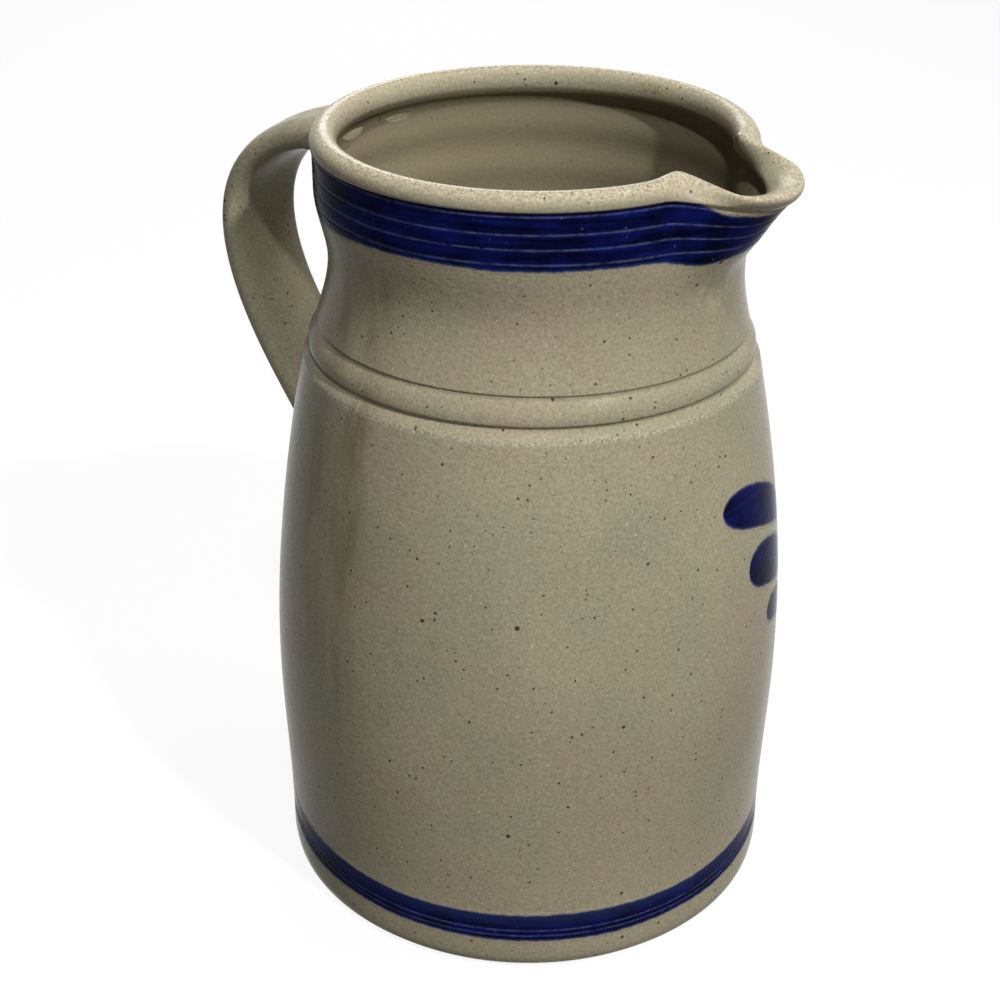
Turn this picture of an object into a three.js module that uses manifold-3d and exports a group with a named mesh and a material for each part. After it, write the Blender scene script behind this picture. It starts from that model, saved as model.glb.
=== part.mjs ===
// A wheel-thrown stoneware pitcher: pulled spout, pulled strap handle and cobalt slip decoration.
// Millimetres, +Z up. The origin is the centre of the flat base. The handle points along -X, and the
// spout, which is turned a little off the handle's line, close to +X.

import * as THREE from 'three';
import { mergeVertices } from 'three/addons/utils/BufferGeometryUtils.js';
import Module from 'manifold-3d';

const wasm = await Module();
wasm.setup();

// Outside of the thrown wall: its radii, and its heights stacked from the base up
const FOOT_RADIUS = 69.7;
const HEEL_RADIUS = 71.9;
const HEEL_HEIGHT = 6;
const WAIST_RADIUS = 71.2;
const BELLY_RADIUS = 72.8;
const BELLY_RISE = 56;
const BELLY_FULLNESS = 33;
const SHOULDER_RADIUS = 61.6;
const SHOULDER_RISE = 95.1;
const SHOULDER_LEAN = 6.8;
const LOWER_BEAD_HEIGHT = 2.4;
const UPPER_BEAD_HEIGHT = 6.4;
const BEAD_STEP = 2;
const BEAD_SWELL = 0.9;
const SCORE_DEPTH = 0.8;
const SCORE_WIDTH = 0.8;
const NECK_RADIUS = 53.7;
const NECK_RISE = 17;
const COLLAR_RADIUS = 56.8;
const COLLAR_FLARE_RISE = 18.5;
const COLLAR_HEIGHT = 15.5;

// Inside of the thrown wall, and the rim, which is rolled inwards and dips to one side
const WALL = 5.6;
const FLOOR = 8;
const FLOOR_CORNER = 12;
const RIM_OVERHANG = 0.6;
const RIM_THICKNESS = 7;
const RIM_LIP = 4.6;
const RIM_ROLL = 5.5;
const RIM_DIP = 1.5;
const RIM_DIP_ANGLE = THREE.MathUtils.degToRad( - 65 );

// Spout pulled out of the rim a little off the handle's line, pinched in at both sides
const SPOUT_TURN = THREE.MathUtils.degToRad( 2.5 );
const SPOUT_DEPTH = 30.5;
const SPOUT_REACH = 17;
const SPOUT_DROP = 5;
const SPOUT_HALF_ANGLE = THREE.MathUtils.degToRad( 19.5 );
const SPOUT_EASE = 1.2;
const LIP_ROUNDNESS = 0.6;
const PINCH_DEPTH = 1.5;
const PINCH_RISE = 0.5;
const PINCH_HALF_ANGLE = THREE.MathUtils.degToRad( 5.5 );
const THROAT_HALF_ANGLE = THREE.MathUtils.degToRad( 27 );
const THROAT_SWELL = 2.4;
const THROAT_SPAN = 16;

// Strap handle: its centre line, from the collar out and down to the belly, and its section
const HANDLE_ROOT_DROP = 11.5;
const HANDLE_ROOT_PULL = 43;
const HANDLE_ROOT_RISE = 2.5;
const HANDLE_TAIL_DROP = 44.1;
const HANDLE_TAIL_PULL = 64;
const HANDLE_TAIL_RISE = 64;
const HANDLE_SINK = 7;
const STRAP_WIDTH = 28;
const STRAP_THICKNESS = 8.6;
const STRAP_CROWN = 1;
const ROOT_SPREAD = 6;
const ROOT_THICKENING = 5;
const TAIL_SPREAD = 5;
const TAIL_THICKENING = 2;
const END_SPREAD_SHARPNESS = 8;

// Cobalt slip bands, each a row of plain stretches, from below up, parted by scored lines
const SLIP_THICKNESS = 0.8;
const CLEARANCE = 0.3;
const COLLAR_BAND_STRETCHES = [ 2, 3.7, 3.9, 4.7, 1.1 ];
const FOOT_BAND_RISE = 4;
const FOOT_BAND_STRETCHES = [ 1.8, 1.8, 5.4 ];
const BAND_SCORE_DEPTH = 0.45;

// Spray of brushed leaves, from the lowest pair up; the shares are of a leaf's own length and width
const SPRAY_ANGLE = THREE.MathUtils.degToRad( 33 );
const SPRAY_RISE = 18;
const STEM_GAP = 1.5;
const LEAF_SLOPE = THREE.MathUtils.degToRad( 22 );
const LEAF_GAP = 1.8;
const LOWER_LEAF_LENGTH = 30;
const LOWER_LEAF_WIDTH = 8.8;
const MIDDLE_LEAF_LENGTH = 43;
const MIDDLE_LEAF_WIDTH = 13.4;
const UPPER_LEAF_LENGTH = 55;
const UPPER_LEAF_WIDTH = 12;
const LEAF_TOP_SHARE = 0.6;
const LEAF_OPENING_SHARE = 0.4;
const LEAF_BLUNTNESS = 5 / 3;

// Fineness of the facets, which crowd towards the spout
const TURN_SEGMENTS = 64;
const SPOUT_CROWDING = 0.4;
const INSIDE_STEPS = 7;
const STRAP_STEPS = 26;
const WELD = 0.001;

const bellyHeight = HEEL_HEIGHT + BELLY_RISE;
const shoulderHeight = bellyHeight + SHOULDER_RISE;
const lowerScoreHeight = shoulderHeight + LOWER_BEAD_HEIGHT;
const upperScoreHeight = lowerScoreHeight + SCORE_WIDTH + UPPER_BEAD_HEIGHT;
const neckHeight = upperScoreHeight + SCORE_WIDTH + NECK_RISE;
const turnHeight = neckHeight + COLLAR_FLARE_RISE;
const rimHeight = turnHeight + COLLAR_HEIGHT;

const slipRecess = SLIP_THICKNESS + CLEARANCE;
const rollRadius = RIM_THICKNESS / 2;
const crestRadius = COLLAR_RADIUS + RIM_OVERHANG - rollRadius;
const underRim = rimHeight - RIM_LIP;

const sum = ( lengths ) => lengths.reduce( ( total, length ) => total + length, 0 );
const collarBandHigh = underRim - CLEARANCE;
const collarBandLow = collarBandHigh - sum( COLLAR_BAND_STRETCHES );
const footBandLow = HEEL_HEIGHT + FOOT_BAND_RISE;
const footBandHigh = footBandLow + sum( FOOT_BAND_STRETCHES );

const leaves = [
	{ row: 'lower', length: LOWER_LEAF_LENGTH, width: LOWER_LEAF_WIDTH },
	{ row: 'middle', length: MIDDLE_LEAF_LENGTH, width: MIDDLE_LEAF_WIDTH },
	{ row: 'upper', length: UPPER_LEAF_LENGTH, width: UPPER_LEAF_WIDTH },
];

const stoneware = new THREE.MeshStandardMaterial( { color: 0x9a937c, roughness: 0.42 } );
const handleStoneware = new THREE.MeshStandardMaterial( { color: 0x8d8670, roughness: 0.45 } );
const cobaltSlip = new THREE.MeshStandardMaterial( { color: 0x141c52, roughness: 0.3 } );

// The outside of the wall as a list of points, from the edge of the base to the collar under the rim.

function wallOutline() {

	const at = ( radius, height ) => new THREE.Vector2( radius, height );
	const foot = at( FOOT_RADIUS, 0 );
	const heel = at( HEEL_RADIUS, HEEL_HEIGHT );
	const belly = at( BELLY_RADIUS, bellyHeight );
	const shoulder = at( SHOULDER_RADIUS, shoulderHeight );
	const lowerScore = at( SHOULDER_RADIUS - BEAD_STEP, lowerScoreHeight );
	const upperScore = at( lowerScore.x - BEAD_STEP, upperScoreHeight );
	const neck = at( NECK_RADIUS, neckHeight );
	const turn = at( COLLAR_RADIUS, turnHeight );
	const third = ( low, high ) => ( high.y - low.y ) / 3;

	const bead = ( low, high ) => new THREE.QuadraticBezierCurve(
		low,
		at( low.x + BEAD_SWELL, ( low.y + high.y ) / 2 ),
		high
	).getPoints( 3 );
	const score = ( point ) => [
		at( point.x - SCORE_DEPTH, point.y + SCORE_WIDTH / 2 ),
		at( point.x, point.y + SCORE_WIDTH ),
	];
	const aboveLower = at( lowerScore.x, lowerScore.y + SCORE_WIDTH );
	const aboveUpper = at( upperScore.x, upperScore.y + SCORE_WIDTH );

	return [
		...new THREE.QuadraticBezierCurve( foot, at( HEEL_RADIUS, HEEL_HEIGHT / 4 ), heel ).getPoints( 2 ),
		...new THREE.CubicBezierCurve(
			heel,
			at( WAIST_RADIUS, heel.y + third( heel, belly ) ),
			at( BELLY_RADIUS, belly.y - third( heel, belly ) ),
			belly
		).getPoints( 3 ),
		...new THREE.CubicBezierCurve(
			belly,
			at( BELLY_RADIUS, belly.y + BELLY_FULLNESS ),
			at( SHOULDER_RADIUS + SHOULDER_LEAN, shoulder.y - third( belly, shoulder ) ),
			shoulder
		).getPoints( 6 ),
		...bead( shoulder, lowerScore ),
		...score( lowerScore ),
		...bead( aboveLower, upperScore ),
		...score( upperScore ),
		...new THREE.CubicBezierCurve(
			aboveUpper,
			at( ( aboveUpper.x + neck.x ) / 2, aboveUpper.y + third( aboveUpper, neck ) ),
			at( NECK_RADIUS, neck.y - third( aboveUpper, neck ) ),
			neck
		).getPoints( 3 ),
		...new THREE.CubicBezierCurve(
			neck,
			at( NECK_RADIUS, neck.y + third( neck, turn ) ),
			at( COLLAR_RADIUS, turn.y - third( neck, turn ) ),
			turn
		).getPoints( 6 ),
		...new THREE.LineCurve( turn, at( COLLAR_RADIUS, rimHeight ) ).getPoints( 6 ),
	].filter( ( point, i, all ) => i === 0 || point.y > all[ i - 1 ].y );

}

const outline = wallOutline();

function wallRadius( height ) {

	const above = Math.max( 1, outline.findIndex( ( point ) => point.y >= height ) );
	const low = outline[ above - 1 ];
	const high = outline[ above ];
	return THREE.MathUtils.mapLinear( height, low.y, high.y, low.x, high.x );

}

// The stretch of the outside wall between two heights, moved out by an offset.

function wallStretch( low, high, offset ) {

	const between = outline.filter( ( point ) => point.y > low && point.y < high );
	const heights = [ low, ...between.map( ( point ) => point.y ), high ];
	return heights.map( ( height ) => new THREE.Vector2( wallRadius( height ) + offset, height ) );

}

// The clay's own outside up to the rim's crest, set back where the two slip bands lie on it.

function clayOutside() {

	const lipStart = Math.asin( ( rollRadius - RIM_LIP ) / rollRadius );
	const lipHeight = rimHeight - rollRadius;
	const lip = new THREE.EllipseCurve( crestRadius, lipHeight, rollRadius, rollRadius, lipStart, Math.PI / 2 );
	return [
		...wallStretch( 0, footBandLow - CLEARANCE, 0 ),
		...wallStretch( footBandLow - CLEARANCE, footBandHigh + CLEARANCE, - slipRecess ),
		...wallStretch( footBandHigh + CLEARANCE, collarBandLow - CLEARANCE, 0 ),
		...wallStretch( collarBandLow - CLEARANCE, underRim, - slipRecess ),
		...lip.getPoints( 5 ),
	];

}

// The inside, from the rim's inward roll down to the middle of the floor.

function clayInside() {

	const rollHeight = rimHeight - RIM_ROLL;
	const roll = new THREE.EllipseCurve( crestRadius, rollHeight, rollRadius, RIM_ROLL, Math.PI / 2, Math.PI );
	const top = rimHeight - 1.5 * RIM_ROLL;
	const bottom = FLOOR + FLOOR_CORNER;
	const points = roll.getPoints( 4 ).slice( 1 );
	for ( let i = 0; i <= INSIDE_STEPS; i ++ ) {

		const height = THREE.MathUtils.lerp( top, bottom, i / INSIDE_STEPS );
		points.push( new THREE.Vector2( wallRadius( height ) - WALL, height ) );

	}

	const wallFoot = points.pop();
	const corner = new THREE.QuadraticBezierCurve(
		wallFoot,
		new THREE.Vector2( wallFoot.x, FLOOR ),
		new THREE.Vector2( wallFoot.x - FLOOR_CORNER, FLOOR )
	);
	return [ ...points, ...corner.getPoints( 2 ), new THREE.Vector2( 0, FLOOR ) ];

}

function turned( profile ) {

	const geometry = new THREE.LatheGeometry( profile, TURN_SEGMENTS ).rotateX( Math.PI / 2 );
	const places = geometry.attributes.position;
	for ( let i = 0; i < places.count; i ++ ) {

		const radius = Math.hypot( places.getX( i ), places.getY( i ) );
		const even = Math.atan2( places.getY( i ), places.getX( i ) );
		const crowded = even - SPOUT_CROWDING * Math.sin( even );
		places.setXY( i, radius * Math.cos( crowded ), radius * Math.sin( crowded ) );

	}

	return geometry;

}

// Pulls the wall outwards into the spout, most at the rim and fading out towards the neck, and lets the
// collar dip to one side. The rim's crest is pinched crisply, the throat below it bends more gently.

function pullSpout( geometry ) {

	const places = geometry.attributes.position;
	const point = new THREE.Vector3();
	for ( let i = 0; i < places.count; i ++ ) {

		point.fromBufferAttribute( places, i );
		const radius = Math.hypot( point.x, point.y );
		const turn = Math.atan2( point.y, point.x );
		const angle = Math.abs( turn - SPOUT_TURN );
		const climb = 1 - ( rimHeight - point.z ) / SPOUT_DEPTH;
		const pull = THREE.MathUtils.clamp( climb, 0, 1 ) ** SPOUT_EASE;
		const rimShare = THREE.MathUtils.clamp( ( point.z - underRim ) / RIM_LIP, 0, 1 );
		const crest = ( 1 - Math.min( angle / SPOUT_HALF_ANGLE, 1 ) ** 2 ) ** LIP_ROUNDNESS;
		const throat = ( 1 - Math.min( angle / THROAT_HALF_ANGLE, 1 ) ** 2 ) ** 2;
		const lip = THREE.MathUtils.lerp( throat, crest, rimShare );
		const pinch = rimShare * Math.exp( - ( ( ( angle - SPOUT_HALF_ANGLE ) / PINCH_HALF_ANGLE ) ** 2 ) );
		const level = Math.exp( - ( ( ( point.z - neckHeight ) / THROAT_SPAN ) ** 2 ) );
		const swell = THROAT_SWELL * level * Math.max( 0, Math.cos( angle ) ) ** 2;
		const shift = pull * ( SPOUT_REACH * lip - PINCH_DEPTH * pinch ) + swell;
		const grown = radius > WALL ? 1 + shift / radius : 1;
		const collarShare = THREE.MathUtils.clamp( ( point.z - turnHeight ) / COLLAR_HEIGHT, 0, 1 );
		const dip = collarShare * RIM_DIP * Math.cos( turn - RIM_DIP_ANGLE );
		const rise = PINCH_RISE * pinch - pull * SPOUT_DROP * lip - dip;
		places.setXYZ( i, point.x * grown, point.y * grown, point.z + rise );

	}

	return geometry;

}

// A closed mesh with shared corners, ready for joining and cutting.

function solid( geometry ) {

	const bare = geometry.clone();
	bare.deleteAttribute( 'normal' );
	bare.deleteAttribute( 'uv' );
	const welded = mergeVertices( bare, WELD );
	const corners = Array.from( welded.index.array );
	const kept = [];
	for ( let i = 0; i < corners.length; i += 3 ) {

		const triangle = corners.slice( i, i + 3 );
		if ( new Set( triangle ).size === 3 ) kept.push( ...triangle );

	}

	return new wasm.Manifold( new wasm.Mesh( {
		numProp: 3,
		vertProperties: welded.attributes.position.array,
		triVerts: Uint32Array.from( kept ),
	} ) );

}

function surface( manifold ) {

	const mesh = manifold.getMesh();
	const geometry = new THREE.BufferGeometry();
	geometry.setAttribute( 'position', new THREE.BufferAttribute( mesh.vertProperties, 3 ) );
	geometry.setIndex( new THREE.BufferAttribute( mesh.triVerts, 1 ) );
	geometry.computeVertexNormals();
	return geometry;

}

// The strap's section, one unit wide and one thick, with rounded edges and a crown on its outer face.

function strapSection() {

	const side = 1 / 2;
	const face = 1 / 2;
	const edge = side - STRAP_THICKNESS / STRAP_WIDTH / 2;
	const crown = STRAP_CROWN / STRAP_THICKNESS;
	const section = new THREE.Shape();
	section.moveTo( - edge, - face );
	section.quadraticCurveTo( 0, - face + crown, edge, - face );
	section.bezierCurveTo( side, - face, side, face, edge, face );
	section.quadraticCurveTo( 0, face + crown, - edge, face );
	section.bezierCurveTo( - side, face, - side, - face, - edge, - face );
	return section;

}

// The strap carried along the handle's centre line, spreading where it was pressed on to the wall.

function strap( grow ) {

	const rootRadius = COLLAR_RADIUS - HANDLE_SINK;
	const rootHeight = rimHeight - HANDLE_ROOT_DROP;
	const tailHeight = shoulderHeight - HANDLE_TAIL_DROP;
	const tailRadius = wallRadius( tailHeight ) - HANDLE_SINK;
	const line = new THREE.CubicBezierCurve3(
		new THREE.Vector3( - rootRadius, 0, rootHeight ),
		new THREE.Vector3( - rootRadius - HANDLE_ROOT_PULL, 0, rootHeight + HANDLE_ROOT_RISE ),
		new THREE.Vector3( - tailRadius - HANDLE_TAIL_PULL, 0, tailHeight + HANDLE_TAIL_RISE ),
		new THREE.Vector3( - tailRadius, 0, tailHeight )
	);
	const across = new THREE.Vector3( 0, - 1, 0 );
	const geometry = new THREE.ExtrudeGeometry( strapSection(), {
		depth: 1,
		steps: STRAP_STEPS,
		bevelEnabled: false,
		curveSegments: 3,
	} );
	const places = geometry.attributes.position;
	const point = new THREE.Vector3();
	for ( let i = 0; i < places.count; i ++ ) {

		point.fromBufferAttribute( places, i );
		const along = THREE.MathUtils.clamp( point.z, 0, 1 );
		const root = ( 1 - along ) ** END_SPREAD_SHARPNESS;
		const tail = along ** END_SPREAD_SHARPNESS;
		const width = STRAP_WIDTH + 2 * grow + ROOT_SPREAD * root + TAIL_SPREAD * tail;
		const thickness = STRAP_THICKNESS + 2 * grow + ROOT_THICKENING * root + TAIL_THICKENING * tail;
		const outward = line.getTangent( along ).cross( across );
		const place = line.getPoint( along );
		place.addScaledVector( across, point.x * width );
		place.addScaledVector( outward, point.y * thickness );
		places.setXYZ( i, place.x, place.y, place.z );

	}

	return solid( geometry );

}

// A ring of slip that fills the wall's recess flush, with fine scored lines between its stretches.

function slipBand( low, stretches ) {

	const point = ( height, depth ) => new THREE.Vector2( wallRadius( height ) - depth, height );
	const half = SCORE_WIDTH / 2;
	const outside = [ point( low, 0 ) ];
	let height = low;
	for ( const stretch of stretches.slice( 0, - 1 ) ) {

		height += stretch;
		outside.push( point( height - half, 0 ), point( height, BAND_SCORE_DEPTH ), point( height + half, 0 ) );

	}

	const high = low + sum( stretches );
	const inside = wallStretch( low, high, - SLIP_THICKNESS ).reverse();
	return turned( [ ...outside, point( high, 0 ), ...inside, outside[ 0 ] ] );

}

// One brushed leaf: pointed at the stem, blunt at the far end, lying on the belly's own curve.

function brushLeaf( { length, width }, tipHeight, side ) {

	const top = LEAF_TOP_SHARE * width;
	const bottom = width - top;
	const opening = LEAF_OPENING_SHARE * length;
	const leaf = new THREE.Shape();
	leaf.moveTo( 0, 0 );
	leaf.bezierCurveTo( opening, top, length, LEAF_BLUNTNESS * top, length, 0 );
	leaf.bezierCurveTo( length, - LEAF_BLUNTNESS * bottom, opening, - bottom, 0, 0 );

	const midArc = STEM_GAP + Math.cos( LEAF_SLOPE ) * length / 2;
	const reach = 2 * BELLY_RADIUS;
	const prism = new THREE.ExtrudeGeometry( leaf, { depth: reach, bevelEnabled: false, curveSegments: 6 } );
	prism.rotateZ( LEAF_SLOPE ).translate( STEM_GAP - midArc, tipHeight, 0 );
	if ( side < 0 ) prism.rotateY( Math.PI ).translate( 0, 0, reach );
	prism.rotateX( Math.PI / 2 ).rotateZ( Math.PI / 2 );
	prism.rotateZ( SPRAY_ANGLE + side * midArc / BELLY_RADIUS );

	const low = tipHeight - width;
	const high = tipHeight + length * Math.sin( LEAF_SLOPE ) + width;
	const outside = wallStretch( low, high, CLEARANCE + SLIP_THICKNESS );
	const inside = wallStretch( low, high, CLEARANCE ).reverse();
	const film = pullSpout( turned( [ ...outside, ...inside, outside[ 0 ] ] ) );
	return surface( solid( film ).intersect( solid( prism ) ) );

}

function named( name, geometry, material ) {

	const mesh = new THREE.Mesh( geometry, material );
	mesh.name = name;
	return mesh;

}

const pitcher = new THREE.Group();

const centre = new THREE.Vector2( 0, 0 );
const outside = clayOutside();
const body = pullSpout( turned( [ centre, ...outside, ...clayInside() ] ) );
pitcher.add( named( 'thrown_body', body, stoneware ) );

const clearOfWall = outside.map( ( point ) => new THREE.Vector2( point.x + CLEARANCE, point.y ) );
const wallCore = solid( turned( [ centre, ...clearOfWall, new THREE.Vector2( 0, rimHeight ) ] ) );
pitcher.add( named( 'strap_handle', surface( strap( 0 ).subtract( wallCore ) ), handleStoneware ) );

const collar = solid( pullSpout( slipBand( collarBandLow, COLLAR_BAND_STRETCHES ) ) );
pitcher.add( named( 'collar_slip_band', surface( collar.subtract( strap( CLEARANCE ) ) ), cobaltSlip ) );

const footBand = slipBand( footBandLow, FOOT_BAND_STRETCHES );
pitcher.add( named( 'foot_slip_band', footBand, cobaltSlip ) );

// Each leaf clears the one below it by the leaf gap, measured square to the leaves.

let tipHeight = bellyHeight + SPRAY_RISE;
leaves.forEach( ( leaf, i ) => {

	if ( i > 0 ) {

		const below = LEAF_TOP_SHARE * leaves[ i - 1 ].width;
		const own = ( 1 - LEAF_TOP_SHARE ) * leaf.width;
		tipHeight += ( below + LEAF_GAP + own ) / Math.cos( LEAF_SLOPE );

	}

	pitcher.add( named( `${ leaf.row }_leaf_left`, brushLeaf( leaf, tipHeight, - 1 ), cobaltSlip ) );
	pitcher.add( named( `${ leaf.row }_leaf_right`, brushLeaf( leaf, tipHeight, 1 ), cobaltSlip ) );

} );

export default pitcher;
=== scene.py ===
"""A wheel-thrown, salt-glazed stoneware pitcher with cobalt slip decoration, in metres, +Z up."""

import math
from bisect import bisect_left

import bmesh
import bpy
from mathutils import Matrix, Vector, noise
from mathutils.geometry import interpolate_bezier


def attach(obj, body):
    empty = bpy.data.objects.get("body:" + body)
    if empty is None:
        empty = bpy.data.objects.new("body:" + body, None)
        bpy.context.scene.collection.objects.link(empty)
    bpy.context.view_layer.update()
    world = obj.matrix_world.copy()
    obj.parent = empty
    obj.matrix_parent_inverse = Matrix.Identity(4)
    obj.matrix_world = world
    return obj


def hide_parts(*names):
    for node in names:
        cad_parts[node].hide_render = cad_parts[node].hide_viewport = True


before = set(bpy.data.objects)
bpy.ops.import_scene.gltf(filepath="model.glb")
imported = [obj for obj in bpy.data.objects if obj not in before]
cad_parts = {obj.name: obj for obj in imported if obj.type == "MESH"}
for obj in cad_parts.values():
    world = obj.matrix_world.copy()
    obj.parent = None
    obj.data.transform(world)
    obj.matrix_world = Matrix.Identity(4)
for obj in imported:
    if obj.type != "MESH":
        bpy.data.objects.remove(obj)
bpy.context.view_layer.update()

bl_info = {
    "name": "Salt-glazed pitcher",
    "version": (1, 0, 0),
    "blender": (4, 5, 0),
    "location": "3D View > Sidebar > Pitcher",
    "description": "Builds a thrown stoneware pitcher with a pulled handle and cobalt slip",
    "category": "Add Mesh",
}

BODY = "root"
MM = 0.001

# Sockets of a Mix node that mixes colours
FACTOR, FIRST, SECOND, MIXED = 0, 6, 7, 2

# Fineness of the meshes
TURN_STEPS = 288
SPOUT_CROWDING = 0.35
ROW_STEP = 0.0021
INSIDE_STEP = 0.002
FINE_ROW_STEP = 0.00022
FINE_ROWS = 5
ARC_STEPS = 48
BASE_STEPS = 8
CORNER_STEPS = 9
ROLL_STEPS = 14
STRAP_STEPS = 150
STRAP_SIDES = 72
LEAF_STEPS = 96
LEAF_ROWS = 26

# Places where the body's finish differs, and where light and shade are painted on it, each an attribute of
# its mesh
FINISHES_AND_PAINTED_LIGHT = ("stain", "pool", "worn_edge_and_highlight", "lined_and_shaded", "sandy", "rust", "bare")

# Brown ash streaks: angle and half width in degrees, strength, and heights where they fade in and out
STREAKS = ((-101, 5.5, 1.0), (-113, 4, 0.6))
STREAKS_START = (0.05, 0.12)
STREAKS_END = (0.198, 0.188)

# Iron spot on the rim: angle and half width in degrees, and the same in radians round the rim's section
RUST_ANGLE, RUST_SPREAD = 85, 4.5
RUST_FACING, RUST_FACING_SPREAD = 2.75, 0.4

# Sandy clay on the rim: where it comes in and goes out, in radians round the rim's section
SANDY_START = (0.0, 1.1)
SANDY_END = (2.6, 1.8)

# Half the height of the pale edge under the beads: glaze worn thin, and a painted highlight
WORN_EDGE_AND_HIGHLIGHT_SPAN = 0.6 * MM

# How far the rim's roll turns under, in radians past facing straight inwards
ROLL_END = 1.1

# How far a curve's handles are pulled for a quarter circle, as a share of its radius
ROUND_PULL = 0.55

# Softness of the thumb mark's hollow and of the ridge round it, as shares of its radius
THUMB_HOLLOW, THUMB_RIDGE = 0.7, 0.2

# How square the strap's section is across its width and thickness: 1 is round, less is squarer
STRAP_SQUARENESS = (0.7, 0.8)

# Finger grooves on the strap's outer face: place and half width, as shares of its half width
GROOVE_PLACE, GROOVE_SPAN = 0.42, 0.2

# Brown stain on the strap: place and half length as shares of its length, and strength
STRAP_STAIN = (0.16, 0.05, 0.5)

# Collar band near the spout, in degrees: where its lower edge sags, and between which its upper edge drops
SAG_ANGLE, SAG_SPREAD = -13, 9
BARE_START = (-21, -10)
BARE_END = (25, 15)

# Where a leaf is widest, as a share of its length from the blunt end
LEAF_WIDEST = 0.36

# Where grey, buff and pink stand in the noise of the clouds
CLOUD_STOPS = (0.34, 0.5, 0.68)

# Gloss of glaze and slip, kept low so that the white surroundings don't wash out their colours
GLAZE_GLOSS = 0.022
SLIP_GLOSS = 0.007

# Real sizes of the patterns in glaze and slip
CLOUDS = 34 * MM
SHADING = 45 * MM
GRAIN = 0.8 * MM
GRIT = 0.7 * MM
DIMPLES = 1.4 * MM
DIMPLE_DEPTH = 0.16 * MM
DRIPS = 6 * MM
BRUSH_HAIRS = 1.1 * MM
PUDDLES = 9 * MM
SCRAPES = 3 * MM
WAVER = 2.6 * MM
WAVER_REACH = 0.4 * MM
THIN_EDGE = 0.9 * MM
SOFT_EDGE = 0.3 * MM

# Over what size, and how far, the specks stray from round
STRAY = 0.7 * MM
STRAY_REACH = 0.6 * MM

# Specks: spacing, largest radius, share of places that have one, softness of the edge, and strength
IRON_SPECKS = (
    (1.2 * MM, 0.4 * MM, 0.5, 0.3 * MM, 0.45),
    (2 * MM, 0.5 * MM, 0.5, 0.2 * MM, 0.85),
    (7.5 * MM, 0.8 * MM, 0.4, 0.2 * MM, 0.85),
)
SALT_SPECKS = (1.7 * MM, 0.4 * MM, 0.5, 0.2 * MM, 1.0)
RIM_SPECKS = (1.4 * MM, 0.36 * MM, 0.5, 0.1 * MM, 1.0)


def linear(code):
    """Turns an sRGB hex colour into the linear values that shaders use, with an alpha of 1."""
    parts = [int(code[i:i + 2], 16) / 255 for i in (1, 3, 5)]
    return [*(p / 12.92 if p <= 0.04045 else ((p + 0.055) / 1.055) ** 2.4 for p in parts), 1]


def length(name, description, default):
    return bpy.props.FloatProperty(
        name=name, description=description, default=default, unit="LENGTH", precision=4
    )


def share(name, description, default):
    return bpy.props.FloatProperty(name=name, description=description, default=default)


def turn(name, description, degrees):
    return bpy.props.FloatProperty(
        name=name, description=description, default=math.radians(degrees), subtype="ANGLE"
    )


def lengths(name, description, default):
    return bpy.props.FloatVectorProperty(
        name=name, description=description, default=default, size=len(default),
        unit="LENGTH", precision=4,
    )


def tint(name, description, code):
    return bpy.props.FloatVectorProperty(
        name=name, description=description, default=linear(code), size=4, subtype="COLOR", min=0, max=1
    )


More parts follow.
